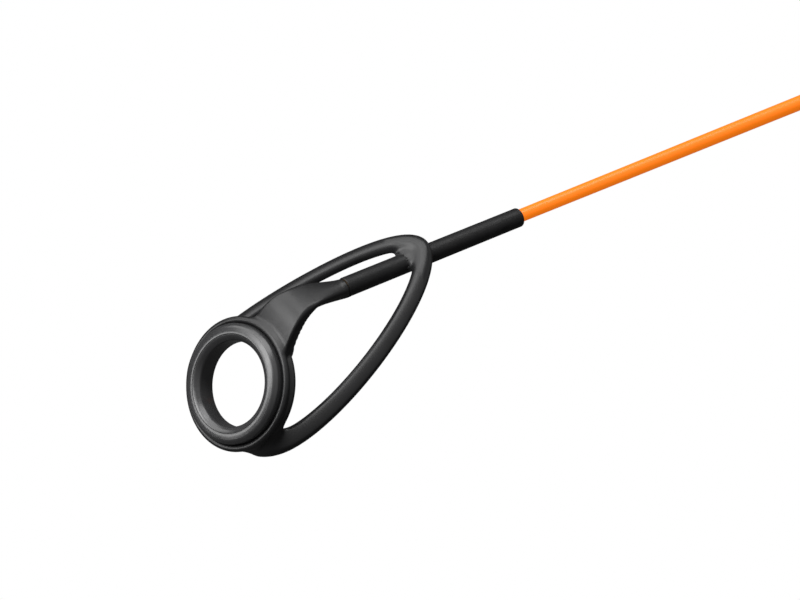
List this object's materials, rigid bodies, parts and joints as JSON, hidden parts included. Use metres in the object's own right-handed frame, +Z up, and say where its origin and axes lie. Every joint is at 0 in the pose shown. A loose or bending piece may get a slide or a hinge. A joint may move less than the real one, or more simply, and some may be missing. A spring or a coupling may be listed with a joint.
{
  "type": "ice fishing rod",
  "caption": "Short ice fishing rod: tapered blank, framed tip-top and line guides with hard rings, screw-locking reel seat and foam grips.",
  "frame": {"origin": "on the blank's axis at the middle of the rear grip, where a holder or hand takes the rod", "axes": "+X along the rod to the tip, +Z up, away from the guides and the reel; -X leaves a rod holder butt first"},
  "size_m": [0.609, 0.025, 0.0431],
  "materials": {
    "blank_orange": "smooth painted solid glass, satin gloss",
    "frame_black": "black-plated stamped steel, semi-gloss",
    "tube_black": "matte black",
    "ring_ceramic": "polished dark grey ceramic",
    "cement": "hard amber cement",
    "keeper_steel": "bright stainless wire and strip",
    "wrap_thread": "fine black thread, closely wound",
    "wrap_resin": "clear glossy resin",
    "trim_anodised": "orange anodised, turned",
    "foam_grip": "black closed-cell foam, matte",
    "butt_rubber": "black moulded rubber",
    "seat_plastic": "black glass-filled nylon",
    "arbor_plastic": "pale rigid foam",
    "hood_steel": "dark brushed stainless"
  },
  "bodies": {
    "root": {"blank": "blank_orange", "tip_top_frame": "frame_black", "tip_top_tube": "tube_black", "tip_top_ring": "ring_ceramic", "tip_top_cement": "cement", "hook_keeper_strap": "keeper_steel", "hook_keeper_wraps": "wrap_thread", "hook_keeper_coats": "wrap_resin", "butt_cap": "butt_rubber", "rear_grip": "foam_grip", "rear_trim_ring": "trim_anodised", "reel_seat_body": "seat_plastic", "seat_arbors": "arbor_plastic", "fixed_hood": "hood_steel", "fore_trim_ring": "trim_anodised", "fore_grip": "foam_grip", "winding_check": "trim_anodised", "guide_1_frame": "frame_black", "guide_1_ring": "ring_ceramic", "guide_1_wraps": "wrap_thread", "guide_1_coats": "wrap_resin", "guide_2_frame": "frame_black", "guide_2_ring": "ring_ceramic", "guide_2_wraps": "wrap_thread", "guide_2_coats": "wrap_resin", "guide_3_frame": "frame_black", "guide_3_ring": "ring_ceramic", "guide_3_wraps": "wrap_thread", "guide_3_coats": "wrap_resin"},
    "hood": {"sliding_hood": "hood_steel"},
    "nut": {"lock_nut": "seat_plastic"},
    "keeper_loop": {"hook_keeper_loop": "keeper_steel"}
  },
  "joints": [
    {"name": "hood_slide", "type": "slide", "parent": "root", "child": "hood", "axis": [1, 0, 0], "range_m": [0, 0.016]},
    {"name": "nut_turn", "type": "hinge", "parent": "hood", "child": "nut", "pos_m": [0.05925, 0, 0], "axis": [1, 0, 0], "range_deg": [0, 2880]},
    {"name": "keeper_swing", "type": "hinge", "parent": "root", "child": "keeper_loop", "pos_m": [0.203, 0, -0.00328], "axis": [0, 1, 0], "range_deg": [-80, 80]}
  ],
  "couplings": [
    {"joint": "nut_turn", "follows": "hood_slide", "rad_per_m": 3141.6}
  ]
}
